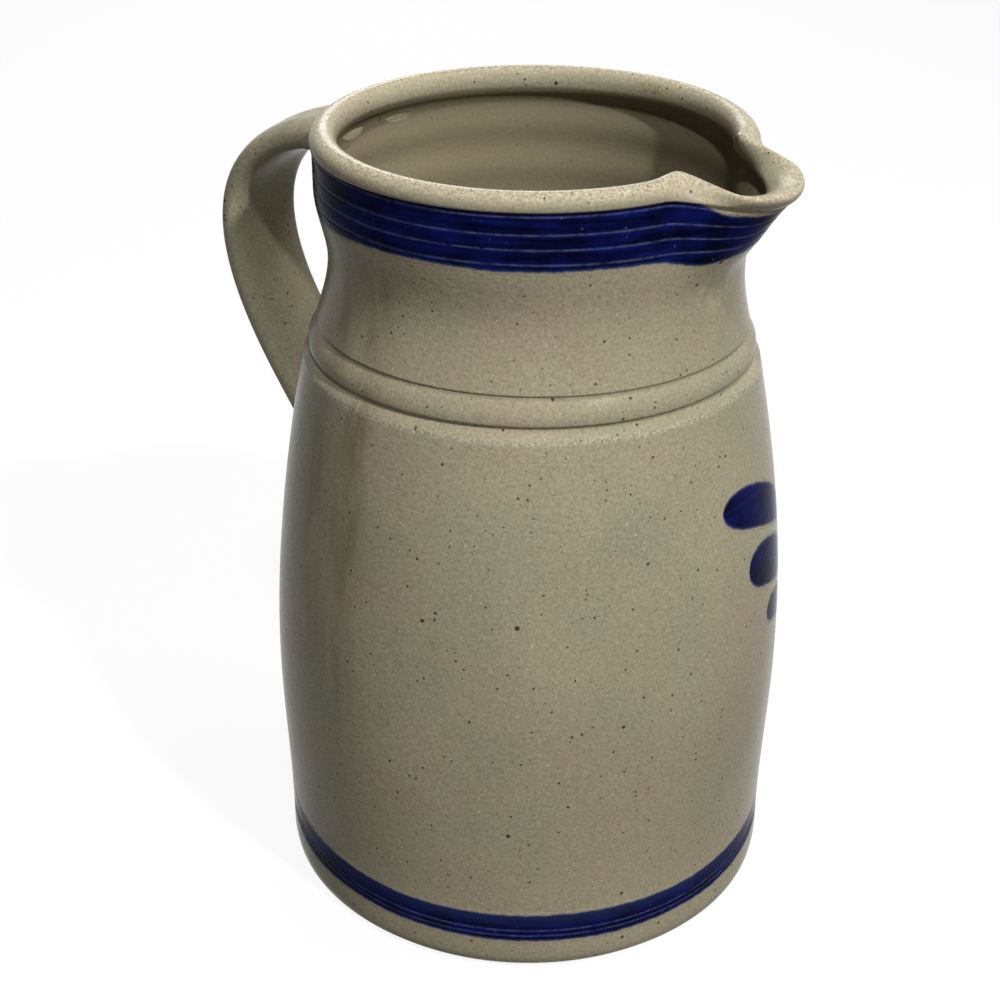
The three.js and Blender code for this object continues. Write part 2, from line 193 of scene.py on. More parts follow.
class WallSizes(bpy.types.PropertyGroup):
    """Sizes of the thrown wall: radii, and heights stacked from the base up."""

    foot_radius: length("Foot radius", "Radius of the flat base", 0.0697)
    heel_radius: length("Heel radius", "Radius above the rounded foot edge", 0.0719)
    heel_height: length("Heel height", "Height of the rounded foot edge", 0.006)
    waist_radius: length("Waist radius", "Radius that the lower wall leans towards", 0.0712)
    belly_radius: length("Belly radius", "Largest radius of the belly", 0.0728)
    belly_rise: length("Belly rise", "From the heel up to the belly", 0.056)
    belly_fullness: length("Belly fullness", "How far the belly stays full above its widest", 0.033)
    shoulder_radius: length("Shoulder radius", "Radius under the lower bead", 0.0616)
    shoulder_rise: length("Shoulder rise", "From the belly up to the shoulder", 0.0951)
    shoulder_lean: length("Shoulder lean", "How far out the wall under the shoulder leans", 0.0068)
    lower_bead_height: length("Lower bead", "Height of the lower bead", 0.0024)
    upper_bead_height: length("Upper bead", "Height of the upper bead", 0.0064)
    bead_step: length("Bead step", "How far each bead steps in", 0.002)
    bead_swell: length("Bead swell", "How far the upper bead swells out", 0.0008)
    score_depth: length("Score depth", "Depth of the lines scored over the beads", 0.0005)
    score_width: length("Score width", "Width of the lines scored over the beads", 0.0008)
    score_fade: length("Score fade", "How far below its line each score runs out", 0.0015)
    neck_radius: length("Neck radius", "Smallest radius of the neck", 0.0537)
    neck_rise: length("Neck rise", "From the upper score to the neck", 0.017)
    collar_radius: length("Collar radius", "Radius of the collar under the rim", 0.0568)
    collar_flare_rise: length("Collar flare", "From the neck to the upright collar", 0.0185)
    collar_height: length("Collar height", "From the collar's turn to the top of the rim", 0.0155)
    thickness: length("Wall", "Thickness of the wall", 0.0056)
    floor: length("Floor", "Thickness of the floor", 0.008)
    floor_corner: length("Floor corner", "Inside radius between wall and floor", 0.012)
    rim_overhang: length("Rim overhang", "How far the rim stands out over the collar", 0.0006)
    rim_thickness: length("Rim thickness", "Thickness of the rolled rim", 0.007)
    rim_lip: length("Rim lip", "Height of the rim's outer face", 0.0046)
    rim_roll: length("Rim roll", "Height of the rim's inward roll", 0.0039)
    rim_groove: length("Rim groove", "Depth of the groove inside, under the rolled rim", 0.0018)
    rim_groove_span: length("Rim groove span", "Half the height of the groove under the rim", 0.0045)
    rim_dip: length("Rim dip", "How far the rim dips to one side", 0.0015)
    rim_dip_angle: turn("Rim dip angle", "Angle of the dip from the spout", -65)
    ring_pitch: length("Throwing rings", "Spacing of the throwing rings inside", 0.0115)
    ring_height: length("Ring height", "Height of the throwing rings inside", 0.00035)
    warp: length("Warp", "How far the wall strays from true", 0.00035)
    warp_span: length("Warp span", "Height over which the wall strays", 0.07)


class SpoutSizes(bpy.types.PropertyGroup):
    """Sizes of the spout that is pulled out of the rim."""

    turned_by: turn("Turn", "How far the spout sits off the handle's line", 2.5)
    depth: length("Depth", "From the rim down to where the spout starts", 0.0305)
    reach: length("Reach", "How far the lip is pulled out", 0.017)
    drop: length("Drop", "How far the lip dips", 0.005)
    half_angle: turn("Half angle", "Half the angle that the spout takes of the rim", 19.5)
    ease: share("Ease", "How suddenly the pull starts", 1.2)
    roundness: share("Lip roundness", "How round the lip is", 0.6)
    pinch_depth: length("Pinch depth", "How far the rim is pinched in beside the spout", 0.0015)
    pinch_rise: length("Pinch rise", "How far the pinched rim is pushed up", 0.0005)
    pinch_softness: share("Pinch softness", "Share of the lip that eases into each pinch", 0.38)
    pinch_half_angle: turn("Pinch half angle", "Half the angle of each pinch", 5.5)
    throat_half_angle: turn("Throat half angle", "Half the angle of the throat below the rim", 27)
    throat_swell: length("Throat swell", "How far the neck swells under the spout", 0.0024)
    throat_span: length("Throat span", "Height over which the neck swells", 0.016)
    thumb_angle: turn("Thumb mark angle", "Angle of the thumb mark from the spout", -4)
    thumb_height: length("Thumb mark height", "Height of the thumb mark", 0.186)
    thumb_radius: length("Thumb mark radius", "Radius of the thumb mark", 0.005)
    thumb_depth: length("Thumb mark depth", "Depth of the thumb mark", 0.0005)


class HandleSizes(bpy.types.PropertyGroup):
    """Centre line and section of the pulled strap handle."""

    root_drop: length("Root drop", "From the rim down to the root", 0.0115)
    root_pull: length("Root pull", "How far the root runs straight out", 0.043)
    root_rise: length("Root rise", "How far the root runs upwards", 0.0025)
    tail_drop: length("Tail drop", "From the shoulder down to the tail", 0.0441)
    tail_pull: length("Tail pull", "How far out the tail comes in from", 0.064)
    tail_rise: length("Tail rise", "How far up the tail comes in from", 0.064)
    sink: length("Sink", "How deep the ends run into the wall", 0.007)
    bedding: length("Bedding", "How deep the ends may show under the wall's skin", 0.003)
    width: length("Strap width", "Width of the strap", 0.028)
    thickness: length("Strap thickness", "Thickness of the strap", 0.0086)
    crown: length("Strap crown", "How far the strap bows outwards", 0.001)
    root_spread: length("Root spread", "Widening at the root", 0.006)
    root_thickening: length("Root thickening", "Thickening at the root", 0.005)
    tail_spread: length("Tail spread", "Widening at the tail", 0.005)
    tail_thickening: length("Tail thickening", "Thickening at the tail", 0.002)
    end_sharpness: share("End sharpness", "How suddenly the ends spread", 8)
    fillet: length("Fillet", "Clay smeared on under both joints", 0.0048)
    fillet_span: length("Fillet span", "How far from the wall the smear reaches", 0.004)
    pull_groove: length("Pull groove", "Depth of the grooves that fingers left", 0.00035)


class SlipSizes(bpy.types.PropertyGroup):
    """Sizes of the cobalt slip: bands, scored lines and brushed leaves."""

    film: length("Film", "How far the slip stands proud of the clay", 0.00004)
    backing: length("Backing", "How deep the slip's solid reaches into the clay", 0.0006)
    margin: length("Margin", "Plain glaze carried past the edge of the colour", 0.0016)
    score_depth: length("Score depth", "Depth of the lines scored in the bands", 0.0002)
    score_width: length("Score width", "Width of the lines scored in the bands", 0.0005)
    collar_stretches: lengths(
        "Collar stretches", "Plain stretches of the collar band between its scored lines, from below",
        (0.002, 0.0037, 0.0039, 0.0047, 0.0011),
    )
    collar_waver: length("Collar waver", "How far the collar band's lower edge strays", 0.0007)
    collar_bare: length("Collar bare", "How far the upper edge drops under the spout", 0.0024)
    collar_sag: length("Collar sag", "How far the lower edge sags beside the spout", 0.0024)
    foot_rise: length("Foot band rise", "From the heel up to the foot band", 0.004)
    foot_stretches: lengths(
        "Foot stretches", "Plain stretches of the foot band between its scored lines, from below",
        (0.0018, 0.0018, 0.0054),
    )
    foot_waver: length("Foot waver", "How far the foot band's edges stray", 0.0004)
    foot_paleness: share("Foot paleness", "How thin the foot band is at its upper edge", 0.5)
    spray_angle: turn("Spray angle", "Angle of the leaf spray from the spout", 33)
    spray_rise: length("Spray rise", "From the belly up to the lowest leaf's point", 0.018)
    stem_gap: length("Stem gap", "From the spray's middle to each leaf's point", 0.0015)
    leaf_steps: lengths("Leaf steps", "From each row's point up to the next", (0.0134, 0.0158, 0.0))
    leaf_lengths: lengths("Leaf lengths", "Lengths of the leaves, from below", (0.030, 0.043, 0.055))
    leaf_widths: lengths("Leaf widths", "Widths of the leaves, from below", (0.0088, 0.0134, 0.012))
    leaf_slope: turn("Leaf slope", "Slope of the leaves", 22)
    leaf_tip_slope: turn("Leaf point slope", "Slope of the leaves at their point", 36)
    leaf_end_slope: turn("Leaf end slope", "Slope of the leaves at their blunt end", 7)


class GlazeColours(bpy.types.PropertyGroup):
    """Colours of the fired clay, glaze and slip."""

    grey: tint("Grey glaze", "Cool grey of the glaze where it is thick", "#939079")
    buff: tint("Buff glaze", "Usual colour of the glaze", "#9a927a")
    pink: tint("Pink glaze", "Warm blush of the glaze where it is thin", "#9c907b")
    # Browner lining, and painted shade inside the pot
    lining_and_shade: tint("Lining", "Browner wash inside the pot", "#6f6650")
    rim: tint("Rim clay", "Sandy clay that shows through on the rim", "#b0a58d")
    stain: tint("Stain", "Brown drips of ash", "#66583b")
    rust: tint("Rust", "Iron spot on the rim", "#80601f")
    # Glaze pooled in the scored lines, and painted shade in them
    pool: tint("Pooled glaze", "Glaze pooled in scored lines", "#5b5340")
    speck: tint("Iron speck", "Iron specks that burnt through", "#1d150d")
    # Also the colour of the painted highlight along the shoulder's edge
    salt: tint("Salt speck", "Pale specks of salt", "#e9e4d4")
    bare: tint("Bare clay", "Unglazed clay under the foot", "#a98f6b")
    deep_blue: tint("Deep cobalt", "Cobalt where the slip is thick", "#04061f")
    blue: tint("Cobalt", "Cobalt where the slip is even", "#0c1450")
    thin_blue: tint("Thin cobalt", "Cobalt where the slip thins out", "#2d3a66")
    # Also the colour of the painted glints on the cobalt
    scraped: tint("Scraped slip", "Slip scraped thin along the scored lines", "#5d6690")


class PitcherSettings(bpy.types.PropertyGroup):
    """Everything that shapes and colours the pitcher."""

    wall: bpy.props.PointerProperty(type=WallSizes)
    spout: bpy.props.PointerProperty(type=SpoutSizes)
    handle: bpy.props.PointerProperty(type=HandleSizes)
    slip: bpy.props.PointerProperty(type=SlipSizes)
    colours: bpy.props.PointerProperty(type=GlazeColours)


def clamp(value, low=0.0, high=1.0):
    return min(max(value, low), high)


def mapped(value, start, end):
    """A smooth step from 0 at the start to 1 at the end."""
    t = clamp((value - start) / (end - start))
    return t * t * (3 - 2 * t)


def bell(distance, span):
    return math.exp(-(distance / span) ** 2)


def along_arc(arc, t):
    """Place and direction at a share t of the way along a curve with four control points."""
    start, first, second, end = arc
    rest = 1 - t
    place = rest ** 3 * start + 3 * rest ** 2 * t * first + 3 * rest * t ** 2 * second + t ** 3 * end
    run = rest ** 2 * (first - start) + 2 * rest * t * (second - first) + t ** 2 * (end - second)
    return place, run.normalized()


class ThrownWall:
    """The thrown pot as a turned outline, and the moves that made it the pitcher it is."""

    def __init__(self, settings):
        self.size = settings.wall
        self.spout = settings.spout
        self.slip = settings.slip
        size = self.size
        self.belly_height = size.heel_height + size.belly_rise
        self.shoulder_height = self.belly_height + size.shoulder_rise
        self.lower_score = self.shoulder_height + size.lower_bead_height
        self.upper_score = self.lower_score + size.score_width + size.upper_bead_height
        self.neck_height = self.upper_score + size.score_width + size.neck_rise
        self.turn_height = self.neck_height + size.collar_flare_rise
        self.rim_height = self.turn_height + size.collar_height
        self.roll_radius = size.rim_thickness / 2
        self.crest_radius = size.collar_radius + size.rim_overhang - self.roll_radius
        self.under_rim = self.rim_height - size.rim_lip
        self.collar_low = self.under_rim - sum(self.slip.collar_stretches)
        self.foot_low = size.heel_height + self.slip.foot_rise
        self.foot_high = self.foot_low + sum(self.slip.foot_stretches)
        self.bead_lines = [score + size.score_width for score in (self.lower_score, self.upper_score)]
        self.band_scores = [
            *self.score_heights(self.collar_low, self.slip.collar_stretches),
            *self.score_heights(self.foot_low, self.slip.foot_stretches),
        ]
        line = self.outline()
        self.line_heights = [point.z for point in line]
        self.line_radii = [point.x for point in line]

    @staticmethod
    def score_heights(low, stretches):
        """Heights of the lines between the plain stretches of a band."""
        heights = []
        for stretch in list(stretches)[:-1]:
            low += stretch
            heights.append(low)
        return heights

    def outline(self):
        """Points up the outside of the wall before any line is scored in it."""
        size = self.size

        def at(radius, height):
            return Vector((radius, 0, height))

        foot = at(size.foot_radius, 0)
        heel = at(size.heel_radius, size.heel_height)
        belly = at(size.belly_radius, self.belly_height)
        shoulder = at(size.shoulder_radius, self.shoulder_height)
        lower = at(shoulder.x - size.bead_step, self.lower_score)
        above_lower = at(lower.x, lower.z + size.score_width)
        upper = at(lower.x - size.bead_step, self.upper_score)
        above_upper = at(upper.x, upper.z + size.score_width)
        neck = at(size.neck_radius, self.neck_height)
        turn_point = at(size.collar_radius, self.turn_height)
        top = at(size.collar_radius, self.rim_height)

        def curve(low, high, low_pull, high_pull):
            """A curve whose handles stand at its thirds, at these radii."""
            third = (high.z - low.z) / 3
            return low, at(low_pull, low.z + third), at(high_pull, high.z - third), high

        def bead(low, high, swell):
            return curve(low, high, low.x + swell, (low.x + high.x) / 2 + swell)

        arcs = [
            (foot, at(heel.x, heel.z / 8), at(heel.x, heel.z / 2), heel),
            curve(heel, belly, size.waist_radius, belly.x),
            (
                belly,
                at(belly.x, belly.z + size.belly_fullness),
                at(shoulder.x + size.shoulder_lean, shoulder.z - size.shoulder_rise / 3),
                shoulder,
            ),
            bead(shoulder, lower, 0),
            (lower, lower, above_lower, above_lower),
            bead(above_lower, upper, size.bead_swell),
            (upper, upper, above_upper, above_upper),
            curve(above_upper, neck, (above_upper.x + neck.x) / 2, neck.x),
            curve(neck, turn_point, neck.x, turn_point.x),
            (turn_point, turn_point, top, top),
        ]
        points = [foot]
        for arc in arcs:
            points += [point for point in interpolate_bezier(*arc, ARC_STEPS) if point.z > points[-1].z]
        return points

    def scored(self, height):
        """Depth of the scored lines at a height: sharp above each bead line, running out below it."""
        size = self.size
        deep = 0
        for line in self.bead_lines:
            above = height - line
            deep += bell(above, size.score_width / 3) if above > 0 else math.exp(above / size.score_fade)
        fine = sum(bell(height - line, self.slip.score_width / 2) for line in self.band_scores)
        return size.score_depth * deep + self.slip.score_depth * fine

    def plain_radius(self, height):
        """Outside radius at a height, before any line is scored."""
        above = clamp(bisect_left(self.line_heights, height), 1, len(self.line_heights) - 1)
        low, high = self.line_heights[above - 1], self.line_heights[above]
        t = (height - low) / (high - low)
        return self.line_radii[above - 1] * (1 - t) + self.line_radii[above] * t

    def radius(self, height):
        return self.plain_radius(height) - self.scored(height)

    def rows(self, low, high, step):
        """Heights for the rows of a mesh, close together across each scored line."""
        count = math.ceil((high - low) / step)
        heights = [low + (high - low) * i / count for i in range(count + 1)]
        reach = FINE_ROWS * FINE_ROW_STEP
        lines = [*self.bead_lines, *self.band_scores, self.shoulder_height]
        lines = [line for line in lines if low < line < high]
        heights = [
            height for height in heights
            if all(abs(height - line) > reach + FINE_ROW_STEP for line in lines) or height in (low, high)
        ]
        for line in lines:
            fine = [line + i * FINE_ROW_STEP for i in range(-FINE_ROWS, FINE_ROWS + 1)]
            heights += [height for height in fine if low + MM / 20 < height < high - MM / 20]
        return sorted(heights)

    def shaped(self, radius, angle, height, outside=True):
        """Where a point of the turned wall ends up after the spout is pulled and the pot has warped."""
        size, spout = self.size, self.spout
        off = abs(angle - spout.turned_by)
        climb = 1 - (self.rim_height - height) / spout.depth
        pull = clamp(climb) ** spout.ease
        rim_share = clamp((height - self.under_rim) / size.rim_lip)
        crest = (1 - min(off / spout.half_angle, 1) ** 2) ** spout.roundness
        crest *= mapped(1 - off / spout.half_angle, 0, spout.pinch_softness)
        throat = (1 - min(off / spout.throat_half_angle, 1) ** 2) ** 2
        lip = throat + (crest - throat) * rim_share
        pinch = rim_share * bell(off - spout.half_angle, spout.pinch_half_angle)
        level = bell(height - self.neck_height, spout.throat_span)
        swell = spout.throat_swell * level * max(0, math.cos(off)) ** 2
        shift = pull * (spout.reach * lip - spout.pinch_depth * pinch) + swell
        if outside:
            along = (angle - spout.thumb_angle) * radius
            away = math.hypot(along, height - spout.thumb_height)
            shift -= spout.thumb_depth * bell(away, spout.thumb_radius * THUMB_HOLLOW)
            shift += spout.thumb_depth * bell(away - spout.thumb_radius, spout.thumb_radius * THUMB_RIDGE)
        place = Vector((math.cos(angle), math.sin(angle), height / size.warp_span))
        warp = size.warp * noise.noise(place)
        grown = radius
        if radius > size.thickness:
            grown += (shift + warp) * clamp(radius / size.neck_radius)
        collar_share = clamp((height - self.turn_height) / size.collar_height)
        dip = collar_share * size.rim_dip * math.cos(angle - size.rim_dip_angle)
        rise = spout.pinch_rise * pinch - pull * spout.drop * lip - dip
        return Vector((grown * math.cos(angle), grown * math.sin(angle), height + rise))

    def rim_points(self):
        """The rim's section: out from the collar, over the crest and round the inward roll."""
        size = self.size
        lip_start = math.asin((self.roll_radius - size.rim_lip) / self.roll_radius)
        arcs = (
            (self.roll_radius, lip_start, math.pi / 2),
            (size.rim_roll, math.pi / 2, math.pi + ROLL_END),
        )
        points = []
        for drop, start, end in arcs:
            for i in range(ROLL_STEPS + 1):
                angle = start + (end - start) * i / ROLL_STEPS
                points.append(Vector((
                    self.crest_radius + self.roll_radius * math.cos(angle),
                    0,
                    self.rim_height - drop + drop * math.sin(angle),
                )))
        return points

    def rim_facing(self, radius, height):
        """Angle round the rim's section, from 0 outwards over the crest to pi inwards, or None below it."""
        inner = radius < self.crest_radius
        drop = self.size.rim_roll if inner else self.roll_radius
        aside = (radius - self.crest_radius) / self.roll_radius
        spot = Vector((aside, (height - self.rim_height + drop) / drop))
        on_the_rim = spot.length >= 0.98
        if height < self.under_rim - MM / 100 or not on_the_rim:
            return None
        return math.atan2(spot.y, spot.x)


def crowded(angle):
    """Draws the steps round the pot closer together towards the spout."""
    return angle - SPOUT_CROWDING * math.sin(angle)


def turned(profile, closed):
    """A mesh turned from a profile of points in the XZ plane."""
    mesh = bmesh.new()
    corners = [mesh.verts.new(point) for point in profile]
    pairs = list(zip(corners, corners[1:]))
    if closed:
        pairs.append((corners[-1], corners[0]))
    edges = [mesh.edges.new(pair) for pair in pairs]
    bmesh.ops.spin(
        mesh, geom=corners + edges, cent=(0, 0, 0), axis=(0, 0, 1),
        angle=math.tau, steps=TURN_STEPS, use_merge=True,
    )
    bmesh.ops.remove_doubles(mesh, verts=mesh.verts, dist=MM / 200)
    bmesh.ops.recalc_face_normals(mesh, faces=mesh.faces)
    return mesh


def place_piece(name, mesh, material, node):
    """Makes the finished mesh an object that stands for its CAD node."""
    data = bpy.data.meshes.new(name)
    mesh.to_mesh(data)
    mesh.free()
    data.shade_smooth()
    data.materials.append(material)
    piece = bpy.data.objects.new(name, data)
    bpy.context.scene.collection.objects.link(piece)
    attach(piece, BODY)
    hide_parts(node)


def add(tree, kind, inputs=(), output=0, **settings):
    """Adds a shader node and gives one of its outputs. inputs holds values or links, by place or by name."""
    node = tree.nodes.new("ShaderNode" + kind)
    for name, value in settings.items():
        setattr(node, name, value)
    pairs = inputs.items() if isinstance(inputs, dict) else enumerate(inputs)
    for key, value in pairs:
        if isinstance(value, bpy.types.NodeSocket):
            tree.links.new(value, node.inputs[key])
        else:
            node.inputs[key].default_value = value
    return node.outputs[output]


def specks(tree, coords, spacing, radius, chosen, softness, strength):
    """A mask of scattered dots: sizes in metres, chosen the share of places that have one."""
    distance = add(tree, "TexVoronoi", {"Vector": coords, "Scale": 1 / spacing}, "Distance")
    chance = add(tree, "SeparateColor", (distance.node.outputs["Color"],))
    reach = add(tree, "MapRange", (chance, 1 - chosen, 1, 0, radius / spacing))
    inside = add(tree, "Math", (reach, distance), operation="SUBTRACT")
    return add(tree, "MapRange", (inside, 0, softness / spacing, 0, strength))


def blended(tree, colour, name, strength, other, mask=1.0):
    """Mixes another colour in where the piece's own attribute says so, broken up by a mask."""
    amount = add(tree, "Attribute", output="Fac", attribute_name=name)
    amount = add(tree, "Math", (amount, strength), operation="MULTIPLY", use_clamp=True)
    amount = add(tree, "Math", (amount, mask), operation="MULTIPLY")
    return add(tree, "Mix", {FACTOR: amount, FIRST: colour, SECOND: other}, MIXED, data_type="RGBA")


def glaze_colour(tree, coords, colours):
    """The cloudy, grainy and specked colour of salt glaze, with the masks of its clouds and its salt."""
    clouds = add(tree, "TexNoise", {"Vector": coords, "Scale": 1 / CLOUDS, "Detail": 4, "Roughness": 0.6})
    colour = add(tree, "ValToRGB", (clouds,))
    stops = colour.node.color_ramp.elements
    stops.new(CLOUD_STOPS[1])
    hues = (colours.grey, colours.buff, colours.pink)
    for stop, place, hue in zip(stops, CLOUD_STOPS, hues):
        stop.position = place
        stop.color = hue

    broad = add(tree, "TexNoise", {"Vector": coords, "Scale": 1 / SHADING})
    broad = add(tree, "MapRange", (broad, 0, 1, 0.84, 1.16))
    grain = add(tree, "TexNoise", {"Vector": coords, "Scale": 1 / GRAIN, "Detail": 3, "Roughness": 0.7})
    grain = add(tree, "MapRange", (grain, 0.3, 0.7, 0.78, 1.22))
    shade = add(tree, "Math", (broad, grain), operation="MULTIPLY")
    inputs = {FACTOR: 1, FIRST: colour, SECOND: shade}
    colour = add(tree, "Mix", inputs, MIXED, data_type="RGBA", blend_type="MULTIPLY")

    stray = add(tree, "TexNoise", {"Vector": coords, "Scale": 1 / STRAY}, "Color")
    stray = add(tree, "VectorMath", (stray, (STRAY_REACH,) * 3), operation="MULTIPLY")
    coords = add(tree, "VectorMath", (coords, stray), operation="ADD")
    iron = 0.0
    for kind in IRON_SPECKS:
        iron = add(tree, "Math", (iron, specks(tree, coords, *kind)), operation="MAXIMUM")
    colour = add(tree, "Mix", {FACTOR: iron, FIRST: colour, SECOND: colours.speck}, MIXED, data_type="RGBA")
    salt = specks(tree, coords, *SALT_SPECKS)
    paled = add(tree, "Math", (salt, 0.28), operation="MULTIPLY")
    colour = add(tree, "Mix", {FACTOR: paled, FIRST: colour, SECOND: colours.salt}, MIXED, data_type="RGBA")
    return colour, clouds, salt


def orange_peel(tree, shader, coords, strength):
    """The dimpled skin that salt vapour leaves, with finer grains in it."""
    inputs = {"Vector": coords, "Scale": 1 / DIMPLES, "Smoothness": 1}
    dimples = add(tree, "TexVoronoi", inputs, "Distance", feature="SMOOTH_F1")
    grains = add(tree, "TexNoise", {"Vector": coords, "Scale": 1 / GRIT})
    height = add(tree, "Math", (dimples, grains), operation="ADD")
    bump = add(tree, "Bump", {"Height": height, "Strength": strength, "Distance": DIMPLE_DEPTH})
    tree.links.new(bump, shader.inputs["Normal"])


def new_material(name):
    """A new material with its node tree, its shader and the piece's own coordinates."""
    material = bpy.data.materials.new(name)
    material.use_nodes = True
    tree = material.node_tree
    coords = add(tree, "TexCoord", output="Object")
    return material, tree, tree.nodes["Principled BSDF"], coords


def salt_glazed_stoneware(settings):
    """Salt-glazed stoneware: grey-buff, cloudy and specked, with a satin orange-peel skin; painted shade in
    scored lines and inside, painted highlight on the shoulder's edge.
    """
    name = "salt_glaze_on_stoneware"
    if name in bpy.data.materials:
        return bpy.data.materials[name]
    colours = settings.colours
    material, tree, shader, coords = new_material(name)
    colour, clouds, salt = glaze_colour(tree, coords, colours)

    streaks = add(tree, "Mapping", {"Vector": coords, "Scale": (1, 1, 0.12)})
    drips = add(tree, "TexNoise", {"Vector": streaks, "Scale": 1 / DRIPS, "Detail": 3})
    drips = add(tree, "MapRange", (drips, 0.35, 0.65))
    grit = add(tree, "TexNoise", {"Vector": coords, "Scale": 1 / GRIT})
    broken = add(tree, "MapRange", (grit, 0.45, 0.62))
    colour = blended(tree, colour, "stain", 0.75, colours.stain, drips)
    # Painted shade in the scored lines, over the glaze pooled there
    colour = blended(tree, colour, "pool", 0.3, colours.pool)
    # Painted shade inside the pot, over a browner lining
    colour = blended(tree, colour, "lined_and_shaded", 0.75, colours.lining_and_shade)
    # Painted highlight along the shoulder's edge, where the glaze is also worn thin
    colour = blended(tree, colour, "worn_edge_and_highlight", 0.38, colours.salt, broken)

    gritty = add(tree, "MapRange", (grit, 0.3, 0.7, 0.5, 1.25))
    inputs = {FACTOR: 1, FIRST: colours.rim, SECOND: gritty}
    sand = add(tree, "Mix", inputs, MIXED, data_type="RGBA", blend_type="MULTIPLY")
    burnt = specks(tree, coords, *RIM_SPECKS)
    sand = add(tree, "Mix", {FACTOR: burnt, FIRST: sand, SECOND: colours.speck}, MIXED, data_type="RGBA")
    colour = blended(tree, colour, "sandy", 0.9, sand)
    colour = blended(tree, colour, "rust", 0.9, colours.rust, broken)
    colour = blended(tree, colour, "bare", 1.0, colours.bare)
    tree.links.new(colour, shader.inputs["Base Color"])

    gloss = add(tree, "MapRange", (clouds, 0.3, 0.7, 0.14, 0.23))
    glint = add(tree, "Math", (salt, 0.05), operation="MULTIPLY")
    gloss = add(tree, "Math", (gloss, glint), operation="SUBTRACT")
    tree.links.new(gloss, shader.inputs["Roughness"])
    shader.inputs["Specular IOR Level"].default_value = GLAZE_GLOSS
    orange_peel(tree, shader, coords, 0.4)
    return material


def cobalt_slip(settings):
    """Cobalt slip under salt glaze: deep navy, streaked by the brush, thin and pale at its edges, with
    painted glints.
    """
    name = "cobalt_slip_under_glaze"
    if name in bpy.data.materials:
        return bpy.data.materials[name]
    colours = settings.colours
    material, tree, shader, coords = new_material(name)
    clay, _, salt = glaze_colour(tree, coords, colours)

    streaks = add(tree, "Mapping", {"Vector": coords, "Scale": (0.05, 0.05, 1)})
    brushed = add(tree, "TexNoise", {"Vector": streaks, "Scale": 1 / BRUSH_HAIRS, "Detail": 3})
    puddled = add(tree, "TexNoise", {"Vector": coords, "Scale": 1 / PUDDLES, "Detail": 3})
    depth = add(tree, "Math", (brushed, puddled), operation="MULTIPLY")
    depth = add(tree, "MapRange", (depth, 0.16, 0.36))
    inputs = {FACTOR: depth, FIRST: colours.deep_blue, SECOND: colours.blue}
    cobalt = add(tree, "Mix", inputs, MIXED, data_type="RGBA")
    cobalt = blended(tree, cobalt, "pale", 1.0, colours.thin_blue)
    broken = add(tree, "TexNoise", {"Vector": coords, "Scale": 1 / SCRAPES, "Detail": 4, "Roughness": 0.7})
    broken = add(tree, "MapRange", (broken, 0.3, 0.6))
    cobalt = blended(tree, cobalt, "score", 0.55, colours.scraped, broken)
    # Painted glints: pale specks of scraped slip where the salt specks fall
    painted_glints = add(tree, "Math", (salt, 0.35), operation="MULTIPLY")
    inputs = {FACTOR: painted_glints, FIRST: cobalt, SECOND: colours.scraped}
    cobalt = add(tree, "Mix", inputs, MIXED, data_type="RGBA")

    inward = add(tree, "Attribute", output="Fac", attribute_name="inward")
    waver = add(tree, "TexNoise", {"Vector": coords, "Scale": 1 / WAVER, "Detail": 3, "Roughness": 0.6})
    waver = add(tree, "MapRange", (waver, 0, 1, -WAVER_REACH, WAVER_REACH))
    edge = add(tree, "Math", (inward, waver), operation="ADD")
    thickness = add(tree, "MapRange", (edge, 0, THIN_EDGE))
    inputs = {FACTOR: thickness, FIRST: colours.thin_blue, SECOND: cobalt}
    cobalt = add(tree, "Mix", inputs, MIXED, data_type="RGBA")
    covered = add(tree, "MapRange", (edge, -SOFT_EDGE, SOFT_EDGE))
    colour = add(tree, "Mix", {FACTOR: covered, FIRST: clay, SECOND: cobalt}, MIXED, data_type="RGBA")
    tree.links.new(colour, shader.inputs["Base Color"])

    gloss = add(tree, "MapRange", (covered, 0, 1, 0.2, 0.12))
    tree.links.new(gloss, shader.inputs["Roughness"])
    shader.inputs["Specular IOR Level"].default_value = SLIP_GLOSS
    orange_peel(tree, shader, coords, 0.3)
    return material


